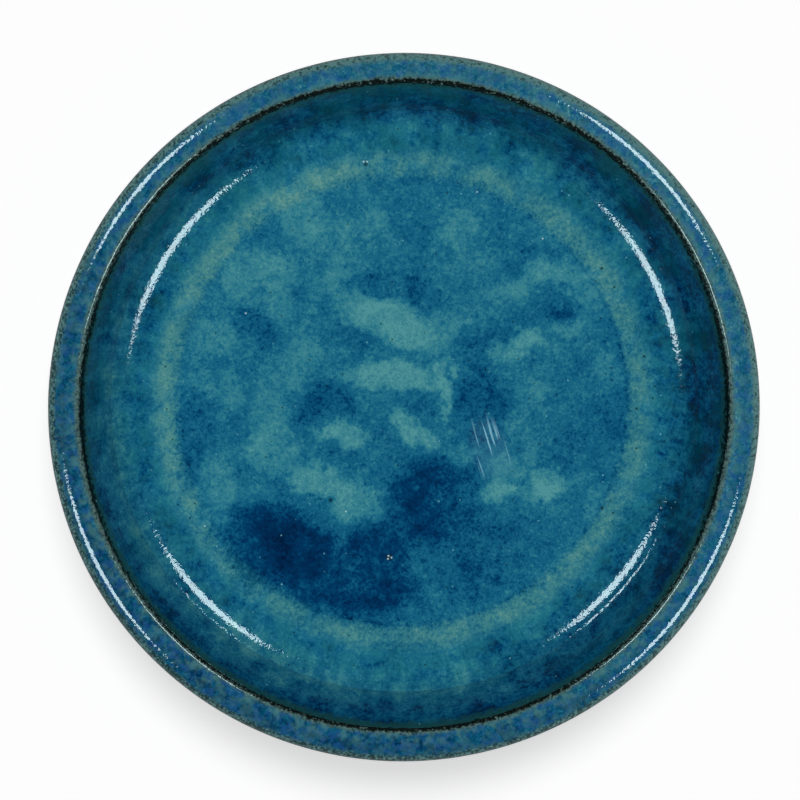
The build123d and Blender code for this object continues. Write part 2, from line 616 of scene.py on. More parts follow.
class Finish:
    """A node material in the making, with the coordinates that its patterns use, in millimetres."""

    def __init__(self, name: str, center: Place = (0.0, 0.0, 0.0)) -> None:
        """Start the material.

        Args:
            name: the material's name.
            center: where its pattern is centred, in millimetres.
        """
        self.material = bpy.data.materials.new(name)
        self.material.use_nodes = True
        tree = self.material.node_tree
        tree.nodes.clear()
        self.node = partial(add_node, tree)
        metres = self.node("ShaderNodeTexCoord")["Object"]
        self.place = self.node("ShaderNodeVectorMath", {0: metres, "Scale": 1 / MM}, operation="SCALE")[0]
        flat = self.node("ShaderNodeVectorMath", {0: self.place, 1: center}, operation="SUBTRACT")[0]
        self.flat = self.node("ShaderNodeVectorMath", {0: flat, 1: (1.0, 1.0, 0.0)}, operation="MULTIPLY")[0]
        self.compass = self.node("ShaderNodeVectorMath", {0: self.flat}, operation="NORMALIZE")[0]
        self.radius = self.node("ShaderNodeVectorMath", {0: self.flat}, operation="LENGTH")["Value"]
        self.height = self.node("ShaderNodeSeparateXYZ", {0: self.place})["Z"]

    def follow(self, distance: Socket, pairs: Pairs) -> Socket:
        """A level that follows a few pairs along the saucer's section.

        Args:
            distance: a radius or a height in millimetres.
            pairs: distance and level, in order.

        Returns:
            The level.
        """
        first, last = pairs[0][0], pairs[-1][0]
        share = {"Value": distance, "From Min": first, "From Max": last}
        share = self.node("ShaderNodeMapRange", share)[0]
        stops = tuple(((place - first) / (last - first), level) for place, level in pairs)
        return self.node("ShaderNodeValToRGB", {0: share}, stops=stops)["Color"]

    def clouds(self, level: Socket | float, layers: tuple[Lumps, ...]) -> Socket:
        """Sway a level by layers of lumps.

        Args:
            level: the level so far.
            layers: the layers.

        Returns:
            The swayed level.
        """
        for lumps in layers:
            noise = self.node(
                "ShaderNodeTexNoise",
                {
                    "Vector": self.place,
                    "W": lumps.seed,
                    "Scale": 1 / lumps.width,
                    "Detail": lumps.octaves,
                    "Roughness": NOISE_ROUGHNESS,
                    "Distortion": lumps.twist,
                },
                noise_dimensions="4D",
            )[0]
            swing = self.node("ShaderNodeMath", {0: noise, 1: 0.5}, operation="SUBTRACT")[0]
            swayed = {0: swing, 1: lumps.sway, 2: level}
            level = self.node("ShaderNodeMath", swayed, operation="MULTIPLY_ADD")[0]
        return level

    def veil(self, veil: Veil, distance: Socket | None = None) -> Socket:
        """Scattered clusters with soft edges.

        Args:
            veil: the clusters.
            distance: the distance in millimetres that their zones follow, if that isn't the radius.

        Returns:
            Cover between 0 and 1.
        """
        noise = {"Vector": self.place, "W": veil.seed, "Scale": 1 / veil.width, "Detail": veil.octaves}
        noise["Roughness"] = NOISE_ROUGHNESS
        noise = self.node("ShaderNodeTexNoise", noise, noise_dimensions="4D")[0]
        cover = self.node("ShaderNodeMapRange", veil.edge.over(noise), **SMOOTH)[0]
        shares = []
        if veil.zones:
            shares.append(self.follow(self.radius if distance is None else distance, veil.zones))
        if veil.side:
            shares.append(self.facing(veil.side))
        for share in shares:
            cover = self.node("ShaderNodeMath", {0: cover, 1: share}, operation="MULTIPLY")[0]
        return cover

    def runs(self, place: Socket, runs: Runs) -> Socket:
        """Streaks down a wall.

        Args:
            place: the places, in millimetres.
            runs: the streaks.

        Returns:
            A level that sways about 0.
        """
        drawn = self.node("ShaderNodeVectorMath", {0: place, 1: runs.along}, operation="MULTIPLY")[0]
        drawn = {0: self.compass, 1: (runs.radius, runs.radius, 0.0), 2: drawn}
        drawn = self.node("ShaderNodeVectorMath", drawn, operation="MULTIPLY_ADD")[0]
        noise = {"Vector": drawn, "W": runs.seed, "Scale": 1 / runs.width, "Detail": runs.octaves}
        noise["Roughness"] = NOISE_ROUGHNESS
        noise = self.node("ShaderNodeTexNoise", noise, noise_dimensions="4D")[0]
        return self.node("ShaderNodeMath", {0: noise, 1: 0.5}, operation="SUBTRACT")[0]

    def facing(self, side: Side) -> Socket:
        """How far a place is on one side of the saucer.

        Args:
            side: the side.

        Returns:
            A level from 0 to 1, less the side's balance.
        """
        ways = {0: self.compass, 1: (side.east, side.north, 0.0)}
        cosine = self.node("ShaderNodeVectorMath", ways, operation="DOT_PRODUCT")["Value"]
        edge = Edge(side.none, side.full, 1.0 - side.balance, -side.balance)
        return self.node("ShaderNodeMapRange", edge.over(cosine))[0]

    def sided(self, level: Socket, shares: list[tuple[Side, Socket]] | Shares) -> Socket:
        """Raise or lower a level on some sides of the saucer.

        Args:
            level: the level so far.
            shares: each side, with how far the level rises there.

        Returns:
            The new level.
        """
        for side, share in shares:
            rise = {0: self.facing(side), 1: share, 2: level}
            level = self.node("ShaderNodeMath", rise, operation="MULTIPLY_ADD")[0]
        return level

    def specks(self, specks: Specks) -> Socket:
        """Tiny specks at random.

        Args:
            specks: the specks.

        Returns:
            Cover between 0 and 1.
        """
        cells = self.node("ShaderNodeTexVoronoi", {"Vector": self.place, "Scale": 1 / specks.spacing})
        chance = self.node("ShaderNodeSeparateColor", {0: cells["Color"]})[0]
        covers = [
            self.node("ShaderNodeMapRange", edge.over(level), **SMOOTH)[0]
            for edge, level in (
                (Edge(specks.reach, specks.reach * specks.core), cells["Distance"]),
                (Edge(specks.rarity, 1.0), chance),
            )
        ]
        return self.node("ShaderNodeMath", {0: covers[0], 1: covers[1]}, operation="MULTIPLY")[0]

    def near(self, place: Socket, patch: Patch, spread: float = 1.0) -> Socket:
        """How near the middle of a patch is.

        Args:
            place: the places, in millimetres.
            patch: the patch.
            spread: how many times as large it is taken.

        Returns:
            1 at the patch's centre and 0 from its edge outwards.
        """
        local = {
            "Vector": place,
            "Location": (patch.across, patch.up, 0.0),
            "Rotation": (0.0, 0.0, math.radians(patch.turn)),
            "Scale": (patch.length * spread, patch.width * spread, 1.0),
        }
        local = self.node("ShaderNodeMapping", local, vector_type="TEXTURE")[0]
        return self.node("ShaderNodeTexGradient", {0: local}, gradient_type="SPHERICAL")[1]

    def marked(self, marks: tuple[Mark, ...], edge: Edge) -> Socket:
        """A group of marks with soft edges.

        Args:
            marks: the marks.
            edge: the edge of each, on a level that is 1 at its centre.

        Returns:
            Cover between 0 and 1.
        """
        nearest = 0.0
        for mark in marks:
            near = self.near(self.flat, Patch(mark.across, mark.up, mark.width, mark.width))
            nearest = self.node("ShaderNodeMath", {0: near, 1: nearest}, operation="MAXIMUM")[0]
        return self.node("ShaderNodeMapRange", edge.over(nearest), **SMOOTH)[0]

    def dressed(self, shader_inputs: dict[str, object], relief: Socket, depth: float) -> bpy.types.Material:
        """End the tree in a shader.

        Args:
            shader_inputs: the shader's inputs.
            relief: a height between 0 and 1.
            depth: what a height of 1 is in millimetres.

        Returns:
            The finished material.
        """
        normal = self.node("ShaderNodeBump", {"Height": relief, "Distance": depth * MM, "Strength": 1.0})[0]
        shader = self.node("ShaderNodeBsdfPrincipled", shader_inputs | {"Normal": normal})[0]
        self.node("ShaderNodeOutputMaterial", {"Surface": shader})
        return self.material


# Reactive glaze: an alkaline glass coloured by copper and cobalt, run and mottled in the firing. It gives the
# eye a wet gloss over a colour that goes from sea green where the coat is thin to ink blue where it pools.
WELL_TONES = (
    (0.0, "00193a"),
    (0.1, "002a50"),
    (0.19, "003860"),
    (0.3, "084d6f"),
    (0.45, "155d7c"),
    (0.55, "1c6580"),
    (0.65, "2a7286"),
    (0.78, "387b89"),
    (0.9, "43848d"),
    (1.0, "508e93"),
)

# The same coat where it is thin over the ring: the clay under it turns the sea green to khaki.
RING_TONES = (
    (0.0, "00304e"),
    (0.3, "12546c"),
    (0.45, "25687a"),
    (0.6, "3a777f"),
    (0.75, "4d8484"),
    (0.9, "608f88"),
    (1.0, "70978c"),
)

# The same glaze over the rim, where it is thinner: cobalt and green mottles over a greyer blue, grey green
# where it breaks over the shoulder, and darker runs down the outer wall to an inky rolled edge.
RIM_TONES = (
    (0.0, "002848"),
    (0.3, "04425f"),
    (0.5, "105470"),
    (0.7, "24657c"),
    (0.9, "427885"),
    (1.0, "588a90"),
)

# How much lighter the cove is, by radius, behind and in front
UPRIGHT_LIFT = ((58.5, 0.0), (61.0, 0.12), (64.5, 0.12), (67.0, 0.0))


@dataclass(frozen=True)
class Glaze:
    """What both coats share: a wet glass with a fine orange peel, dull where it is burnt dry."""

    ior: float = 1.5
    sheen_colour: str = "eefbff"
    roughness: float = 0.06
    gloss: float = 0.5
    dry_loss: float = 0.4
    peel_width: float = 0.75
    peel_octaves: float = 1.5
    peel_depth: float = 0.043

    def glassy(
        self, coat: Finish, colour: Socket, dry: Socket, pits: Socket | float, roughness: Socket | float
    ) -> bpy.types.Material:
        """End a coat's tree.

        Args:
            coat: the material in the making.
            colour: its colour.
            dry: where it is burnt dry.
            pits: where it is pitted.
            roughness: its roughness.

        Returns:
            The finished material.
        """
        peel = {"Vector": coat.place, "Scale": 1 / self.peel_width, "Detail": self.peel_octaves}
        peel = coat.node("ShaderNodeTexNoise", peel)[0]
        relief = coat.node("ShaderNodeMath", {0: pits, 1: -1.0, 2: peel}, operation="MULTIPLY_ADD")[0]
        gloss = {0: dry, 1: -self.dry_loss, 2: self.gloss}
        gloss = coat.node("ShaderNodeMath", gloss, operation="MULTIPLY_ADD")[0]
        inputs = {
            "Base Color": colour,
            "Roughness": roughness,
            "IOR": self.ior,
            "Specular IOR Level": gloss,
            "Specular Tint": self.sheen_colour,
        }
        return coat.dressed(inputs, relief, self.peel_depth)


@dataclass(frozen=True)
class WellGlaze(Glaze):
    """The glaze that lines the well."""

    center: Place = (0.0, WELL_OFF_CENTER, 0.0)
    warp_width: float = 9.0
    warp_reach: float = 11.0
    fuzz_width: float = 2.2
    fuzz_reach: float = 4.5
    drift_octaves: float = 3.0
    patch_spread: float = 1.35
    patch_edge: Edge = Edge(0.0, 0.58)
    pool_edge: Edge = Edge(0.0, 0.65)
    pool_blend: float = 0.12
    clouding: tuple[Lumps, ...] = (Lumps(9.0, 1.0, 1.0), Lumps(3.4, 0.8, 8.0))
    lively_zones: Pairs = ((0.0, 0.5), (55.0, 0.55), (60.0, 0.85), (67.0, 1.0), (71.0, 0.7), (75.0, 0.6))
    grain: tuple[Lumps, ...] = (Lumps(1.2, 0.6, 2.0, 1.0), Lumps(0.75, 0.55, 4.0, 1.0, 0.0))
    calm_edge: Edge = Edge(0.02, 0.42, least=0.3)
    off_floor: Pairs = ((52.0, 0.0), (60.0, 0.9), (75.0, 0.9))
    zone_shift: tuple[Lumps, ...] = (Lumps(1.2, 3.0, 2.0, 1.0),)
    zones: Pairs = (
        (0.0, 0.55),
        (51.0, 0.53),
        (52.6, 0.52),
        (54.1, 0.58),
        (55.6, 0.65),
        (57.1, 0.66),
        (58.4, 0.61),
        (59.8, 0.52),
        (61.2, 0.39),
        (63.3, 0.36),
        (65.0, 0.40),
        (66.8, 0.43),
        (68.0, 0.36),
        (69.0, 0.33),
        (70.0, 0.24),
        (75.0, 0.19),
    )
    lifts: tuple[tuple[Side, Pairs], ...] = (
        (UPPER, UPRIGHT_LIFT),
        (LOWER, UPRIGHT_LIFT),
        # Painted light: the crease and the foot of the wall lighter on the lower left, against the shade of
        # the leaning wall
        (
            Side(-0.7, -0.7, -0.3, 0.9),
            ((62.0, 0.0), (66.0, 0.08), (69.5, 0.38), (71.0, 0.3), (72.5, 0.08), (75.0, 0.0)),
        ),
        (Side(-1.0, 0.0, -1.0, 0.3), ((68.0, 0.0), (71.0, 0.04), (75.0, 0.04))),
        (Side(-0.96, 0.28), ((53.5, 0.0), (56.0, 0.1), (58.0, 0.1), (60.5, 0.0))),
    )
    wall_runs: Runs = Runs(2.6, 3.0, 70.0, (0.06, 0.06, 0.0))
    run_zones: Pairs = ((56.0, 0.0), (66.0, 0.65), (74.0, 0.52))
    foot_pools: tuple[Lumps, ...] = (Lumps(6.0, 1.2, 6.0),)
    foot_zones: Pairs = ((66.0, 0.0), (69.5, 1.0), (71.5, 0.8), (75.0, 0.3))
    # Painted shade: a dark line along the ring's inner foot, on the right side
    painted_shadow_line: Veil = Veil(
        8.0,
        11.0,
        Edge(0.4, 0.6),
        zones=((52.4, 0.0), (53.2, 1.0), (54.0, 0.0)),
        side=Side(0.9, -0.44, -0.4, 0.9),
    )
    painted_shadow_tone: float = -0.2
    ring: Veil = Veil(
        5.0, 5.0, Edge(0.3, 0.55), zones=((52.6, 0.0), (54.6, 0.9), (57.6, 0.9), (60.6, 0.0))
    )
    sea: Veil = Veil(
        3.6, 14.0, Edge(0.38, 0.62), zones=((58.0, 0.0), (60.5, 0.28), (65.0, 0.28), (68.0, 0.1), (70.0, 0.0))
    )
    teal: Veil = Veil(
        12.0,
        12.0,
        Edge(0.42, 0.62),
        4.0,
        ((58.0, 0.0), (61.5, 0.25), (67.5, 0.3), (70.5, 0.5), (75.0, 0.6)),
        Side(0.3, 0.95, -1.4, 0.6),
    )
    edge_ragged: tuple[Lumps, ...] = (Lumps(1.0, 5.4, 7.0),)
    thin_edge: Edge = Edge(20.3, 22.6, 0.88)
    thin_rises: Shares = ((UPPER, -1.2), (LOWER, -0.5))
    break_edge: Edge = Edge(21.7, 23.2)
    break_rises: Shares = ((UPPER, -1.3), (LOWER, -1.8))
    iron_specks: Specks = Specks(1.3, 0.22, 0.86)
    crystals: Specks = Specks(1.7, 0.17, 0.86)
    iron_edge: Edge = Edge(0.1, 0.6, 0.85)
    pit_edge: Edge = Edge(0.0, 0.6, 0.75)
    painted_glint_edge: Edge = Edge(0.0, 0.8, 0.75)
    scuff: Scuff = Scuff()
    sea_colour: str = "2a7874"
    teal_colour: str = "004a4f"
    thin_colour: str = "1c4742"
    break_colour: str = "05100f"
    iron_colour: str = "10241f"
    crystal_colour: str = "5f9aa6"
    pit_colour: str = "06222f"
    # The colour of the painted highlights
    painted_glint_colour: str = "c4d8da"
    scuff_colour: str = "7fb0c4"

    def material(self) -> bpy.types.Material:
        """Build the node material.

        Returns:
            The material.
        """
        coat = Finish("reactive_glaze_well", self.center)
        node = coat.node
        shifted = coat.clouds(coat.radius, self.zone_shift)
        tone = self.tone(coat, shifted)

        # Thin and then black where the coat breaks at the edge
        ragged = coat.clouds(coat.height, self.edge_ragged)
        thin, broken = (
            node("ShaderNodeMapRange", edge.over(coat.sided(ragged, rises)), **SMOOTH)[0]
            for edge, rises in ((self.thin_edge, self.thin_rises), (self.break_edge, self.break_rises))
        )
        pits = coat.marked(PITS, self.pit_edge)
        colour, khaki = (
            node("ShaderNodeValToRGB", {0: tone}, stops=tones)["Color"] for tones in (WELL_TONES, RING_TONES)
        )
        for cover, paint in (
            (coat.veil(self.ring, shifted), khaki),
            (coat.veil(self.sea), self.sea_colour),
            (coat.veil(self.teal), self.teal_colour),
            (thin, self.thin_colour),
            (broken, self.break_colour),
            (coat.specks(self.iron_specks), self.iron_colour),
            (coat.specks(self.crystals), self.crystal_colour),
            (coat.marked(IRON_SPOTS, self.iron_edge), self.iron_colour),
            (pits, self.pit_colour),
            # Painted highlights: the glints are painted in as colour
            (coat.marked(PAINTED_GLINTS, self.painted_glint_edge), self.painted_glint_colour),
            (self.scratches(coat), self.scuff_colour),
        ):
            colour = node("ShaderNodeMix", {0: cover, 6: colour, 7: paint}, data_type="RGBA")[2]
        return self.glassy(coat, colour, broken, pits, self.roughness)

    def tone(self, coat: Finish, shifted: Socket) -> Socket:
        """How thick the coat looks, from 0 for ink to 1 for pale, with painted light on the lower left of the
        crease and a painted shadow line at the ring's foot.

        Args:
            coat: the material in the making.
            shifted: the radius in millimetres, with ragged borders between its zones.

        Returns:
            The tone.
        """
        node = coat.node
        tone = coat.follow(shifted, self.zones)
        # Lighter on some sides of the saucer; on the lower left of the crease this is painted light
        tone = coat.sided(tone, [(side, coat.follow(coat.radius, lift)) for side, lift in self.lifts])

        # Patches and pools of the floor
        waved = self.drifted(coat, coat.flat, self.warp_width, self.warp_reach)
        frayed = self.drifted(coat, waved, self.fuzz_width, self.fuzz_reach)
        for cover, value in self.covers(coat, frayed, FLOOR_PATCHES, self.patch_edge):
            tone = node("ShaderNodeMath", {0: cover, 1: value, 2: tone}, operation="MULTIPLY_ADD")[0]
        sunk = 0.0
        for cover, value in self.covers(coat, waved, FLOOR_POOLS, self.pool_edge):
            depth = node("ShaderNodeMath", {0: cover, 1: value}, operation="MULTIPLY")[0]
            sunk = node("ShaderNodeMath", {0: sunk, 1: depth, 2: self.pool_blend}, operation="SMOOTH_MIN")[0]
        tone = node("ShaderNodeMath", {0: tone, 1: sunk}, operation="ADD")[0]

        # Mottling, and a grain that is calm where the glaze pools on the floor
        lively = coat.follow(coat.radius, self.lively_zones)
        mottled = {0: coat.clouds(0.0, self.clouding), 1: lively, 2: tone}
        tone = node("ShaderNodeMath", mottled, operation="MULTIPLY_ADD")[0]
        calm = node("ShaderNodeMapRange", self.calm_edge.over(tone), **SMOOTH)[0]
        off_floor = coat.follow(coat.radius, self.off_floor)
        calm = node("ShaderNodeMath", {0: calm, 1: off_floor}, operation="MAXIMUM")[0]

        # Runs down the wall, pools along its foot, and a painted shadow line along the ring's inner foot
        for level, share in (
            (coat.clouds(0.0, self.grain), calm),
            (coat.runs(coat.flat, self.wall_runs), coat.follow(coat.radius, self.run_zones)),
            (coat.clouds(0.0, self.foot_pools), coat.follow(coat.radius, self.foot_zones)),
            (coat.veil(self.painted_shadow_line), self.painted_shadow_tone),
        ):
            tone = node("ShaderNodeMath", {0: level, 1: share, 2: tone}, operation="MULTIPLY_ADD")[0]
        return tone

    def drifted(self, coat: Finish, place: Socket, width: float, reach: float) -> Socket:
        """Push places about, as the melt drifted.

        Args:
            coat: the material in the making.
            place: the places, in millimetres.
            width: width of the drifts.
            reach: how far they go.

        Returns:
            The pushed places.
        """
        drift = {"Vector": coat.flat, "Scale": 1 / width, "Detail": self.drift_octaves}
        drift = coat.node("ShaderNodeTexNoise", drift)["Color"]
        drift = coat.node("ShaderNodeVectorMath", {0: drift, 1: (0.5, 0.5, 0.5)}, operation="SUBTRACT")[0]
        moved = {0: drift, 1: (reach, reach, 0.0), 2: place}
        return coat.node("ShaderNodeVectorMath", moved, operation="MULTIPLY_ADD")[0]

    def covers(
        self, coat: Finish, place: Socket, groups: dict[Tone, tuple[Patch, ...]], edge: Edge
    ) -> list[tuple[Socket, float]]:
        """How fully each patch of the floor covers a place.

        Args:
            coat: the material in the making.
            place: the places, in millimetres.
            groups: the patches by tone.
            edge: the edge of each, on a level that is 1 at its centre.

        Returns:
            The cover between 0 and 1 and the tone of each patch.
        """
        covers = []
        for tone, patches in groups.items():
            for patch in patches:
                near = coat.near(place, patch, self.patch_spread)
                covers.append((coat.node("ShaderNodeMapRange", edge.over(near), **SMOOTH)[0], tone.value))
        return covers

    def scratches(self, coat: Finish) -> Socket:
        """The bundle of scuff marks on the floor.

        Args:
            coat: the material in the making.

        Returns:
            Cover between 0 and 1.
        """
        scuff, node = self.scuff, coat.node
        drawn = {
            "Vector": coat.flat,
            "Location": (scuff.patch.across, scuff.patch.up, 0.0),
            "Rotation": (0.0, 0.0, math.radians(scuff.patch.turn)),
            "Scale": (scuff.scratch_length, scuff.scratch_spacing, 1.0),
        }
        drawn = node("ShaderNodeMapping", drawn, vector_type="TEXTURE")[0]
        lines = {"Vector": drawn, "Scale": 1.0, "Detail": 1.0}
        lines = node("ShaderNodeTexNoise", lines, noise_dimensions="2D")[0]
        lines = node("ShaderNodeMapRange", scuff.scratch_edge.over(lines), **SMOOTH)[0]
        inside = coat.near(coat.flat, scuff.patch)
        inside = node("ShaderNodeMapRange", scuff.patch_edge.over(inside), **SMOOTH)[0]
        return node("ShaderNodeMath", {0: lines, 1: inside}, operation="MULTIPLY")[0]


@dataclass(frozen=True)
class RimGlaze(Glaze):
    """The glaze over the rim and the outer wall, which breaks to grey and brown at its edges."""

    mottle: tuple[Lumps, ...] = (Lumps(2.4, 1.0, 1.5), Lumps(1.0, 1.3, 2.5, 0.8), Lumps(0.5, 0.9, 4.5))
    top_edge: Edge = Edge(21.5, 23.5)
    top_zones: Pairs = (
        (75.0, 0.54),
        (76.6, 0.56),
        (77.6, 0.47),
        (79.4, 0.42),
        (80.6, 0.52),
        (83.0, 0.52),
    )
    wall_zones: Pairs = ((6.0, 0.05), (7.5, 0.25), (11.0, 0.5), (18.0, 0.62), (22.0, 0.56))
    wall_runs: Runs = Runs(3.0, 3.5, 80.0, (0.0, 0.0, 0.1))
    run_sway: float = 0.8
    # Lighter towards the upper right and darker towards the lower left, on the rim and its shoulder
    lighter_side: Side = Side(0.55, 0.84, -1.0, 1.0, 0.5)
    lighter_side_tone: float = 0.42
    lighter_side_break: float = 0.18
    cobalt: Veil = Veil(1.6, 8.0, Edge(0.46, 0.6, 0.5))
    green: Veil = Veil(
        2.2, 9.0, Edge(0.4, 0.66), zones=((75.5, 0.8), (77.4, 0.6), (78.6, 0.25), (80.4, 0.4))
    )
    flecks: tuple[Lumps, ...] = (Lumps(0.6, 1.5, 5.0),)
    shoulder_ragged: tuple[Lumps, ...] = (Lumps(0.9, 1.6, 6.0),)
    shoulder_edge: Edge = Edge(80.1, 81.4, 0.9)
    shoulder_foot: Edge = Edge(20.0, 21.6)
    shoulder_tones: Tones = ((0.36, "1a302c"), (0.6, "5d807e"))
    lip_center: Place = (0.0, WELL_OFF_CENTER, 0.0)
    fringe_ragged: tuple[Lumps, ...] = (Lumps(0.9, -1.6, 6.0), Lumps(0.45, -0.9, 3.0))
    fringe_reaches: Shares = ((Side(0.0, 1.0, -0.2), -0.35),)
    fringe_edge: Edge = Edge(76.7, 75.6, 0.95)
    fringe_tones: Tones = ((0.34, "26332f"), (0.5, "48625f"), (0.66, "5a706b"))
    fringe_roughness: float = 0.05
    burnt_reaches: Shares = ((Side(0.0, 1.0, 0.45), -0.52), (Side(0.0, -1.0, 0.45), -0.52))
    burnt_edge: Edge = Edge(75.35, 74.95)
    burnt_gaps: Edge = Edge(0.76, 0.56)
    roll_zones: Pairs = ((5.2, 0.9), (6.0, 0.7), (6.8, 0.0), (8.0, 0.0))
    cobalt_colour: str = "224c88"
    green_colour: str = "4a7572"
    burnt_colour: str = "0b1210"
    roll_colour: str = "231a12"

    def material(self) -> bpy.types.Material:
        """Build the node material.

        Returns:
            The material.
        """
        coat = Finish("reactive_glaze_rim")
        node = coat.node

        # Tone across the rim, or down the outer wall with its runs
        on_top = node("ShaderNodeMapRange", self.top_edge.over(coat.height), **SMOOTH)[0]
        wall = coat.follow(coat.height, self.wall_zones)
        wall = {0: coat.runs(coat.place, self.wall_runs), 1: self.run_sway, 2: wall}
        wall = node("ShaderNodeMath", wall, operation="MULTIPLY_ADD")[0]
        top = coat.follow(coat.radius, self.top_zones)
        top = coat.sided(top, ((self.lighter_side, self.lighter_side_tone),))
        tone = node("ShaderNodeMix", {0: on_top, 2: wall, 3: top}, data_type="FLOAT")[0]
        tone = coat.clouds(tone, self.mottle)
        colour = node("ShaderNodeValToRGB", {0: tone}, stops=RIM_TONES)["Color"]

        # The broken shoulder
        flecks = coat.clouds(0.5, self.flecks)
        breaking = coat.sided(flecks, ((self.lighter_side, self.lighter_side_break),))
        shoulder = node("ShaderNodeValToRGB", {0: breaking}, stops=self.shoulder_tones)["Color"]
        outward = coat.clouds(coat.radius, self.shoulder_ragged)
        broken = node("ShaderNodeMapRange", self.shoulder_edge.over(outward), **SMOOTH)[0]
        high_up = node("ShaderNodeMapRange", self.shoulder_foot.over(coat.height), **SMOOTH)[0]

        # The fringe along the inner edge, burnt where the coat stops
        lip = {0: coat.flat, 1: self.lip_center}
        lip = node("ShaderNodeVectorMath", lip, operation="DISTANCE")["Value"]
        inward = coat.sided(coat.clouds(lip, self.fringe_ragged), self.fringe_reaches)
        fringe = node("ShaderNodeMapRange", self.fringe_edge.over(inward), **SMOOTH)[0]
        fringes = node("ShaderNodeValToRGB", {0: flecks}, stops=self.fringe_tones)["Color"]
        burning = coat.sided(inward, self.burnt_reaches)
        burnt = node("ShaderNodeMapRange", self.burnt_edge.over(burning), **SMOOTH)[0]
        unbroken = node("ShaderNodeMapRange", self.burnt_gaps.over(flecks), **SMOOTH)[0]
        burnt = node("ShaderNodeMath", {0: burnt, 1: unbroken}, operation="MULTIPLY")[0]
        broken, fringe, burnt = (
            node("ShaderNodeMath", {0: cover, 1: share}, operation="MULTIPLY")[0]
            for cover, share in ((broken, high_up), (fringe, on_top), (burnt, on_top))
        )
        for cover, paint in (
            (coat.veil(self.cobalt), self.cobalt_colour),
            (coat.veil(self.green), self.green_colour),
            (broken, shoulder),
            (fringe, fringes),
            (burnt, self.burnt_colour),
            (coat.follow(coat.height, self.roll_zones), self.roll_colour),
        ):
            colour = node("ShaderNodeMix", {0: cover, 6: colour, 7: paint}, data_type="RGBA")[2]
        roughness = {0: fringe, 1: self.fringe_roughness, 2: self.roughness}
        roughness = node("ShaderNodeMath", roughness, operation="MULTIPLY_ADD")[0]
        return self.glassy(coat, colour, burnt, 0.0, roughness)


@dataclass(frozen=True)
class Stoneware:
    """Iron-bearing stoneware, turned and fired: a matt brown with grog, iron specks and turning marks, burnt
    black where it shows along the rim's edge."""

    ior: float = 1.5
    roughness: float = 0.8
    gloss: float = 0.5
    burnt_loss: float = 0.4
    grit: tuple[Lumps, ...] = (Lumps(1.1, 0.5, 1.0), Lumps(0.35, 0.5, 2.0))
    clay_tones: Tones = ((0.36, "4a3324"), (0.5, "6b4d36"), (0.64, "8a6a4c"))
    burnt_tones: Tones = ((0.38, "030706"), (0.51, "0b1513"), (0.62, "2f2f26"))
    burnt_edge: Edge = Edge(21.5, 22.5)
    iron: Specks = Specks(2.2, 0.2, 0.6)
    iron_colour: str = "20150e"
    groove_wander: tuple[Lumps, ...] = (Lumps(6.0, 1.0, 3.0),)
    groove_width: float = 1.6
    groove_share: float = 0.3
    relief_depth: float = 0.06

    def material(self) -> bpy.types.Material:
        """Build the node material.

        Returns:
            The material.
        """
        clay = Finish("iron_stoneware")
        node = clay.node
        grit = clay.clouds(0.5, self.grit)
        colour, burnt = (
            node("ShaderNodeValToRGB", {0: grit}, stops=tones)["Color"]
            for tones in (self.clay_tones, self.burnt_tones)
        )
        on_edge = node("ShaderNodeMapRange", self.burnt_edge.over(clay.height), **SMOOTH)[0]
        for cover, paint in ((clay.specks(self.iron), self.iron_colour), (on_edge, burnt)):
            colour = node("ShaderNodeMix", {0: cover, 6: colour, 7: paint}, data_type="RGBA")[2]
        gloss = {0: on_edge, 1: -self.burnt_loss, 2: self.gloss}
        gloss = node("ShaderNodeMath", gloss, operation="MULTIPLY_ADD")[0]

        # Grooves that the turning tool left round the base
        wander = clay.clouds(clay.radius, self.groove_wander)
        phase = node("ShaderNodeMath", {0: wander, 1: math.tau / self.groove_width}, operation="MULTIPLY")[0]
        groove = node("ShaderNodeMath", {0: phase}, operation="SINE")[0]
        relief = {0: groove, 1: self.groove_share, 2: grit}
        relief = node("ShaderNodeMath", relief, operation="MULTIPLY_ADD")[0]
        inputs = {"Base Color": colour, "Roughness": self.roughness}
        inputs |= {"IOR": self.ior, "Specular IOR Level": gloss}
        return clay.dressed(inputs, relief, self.relief_depth)


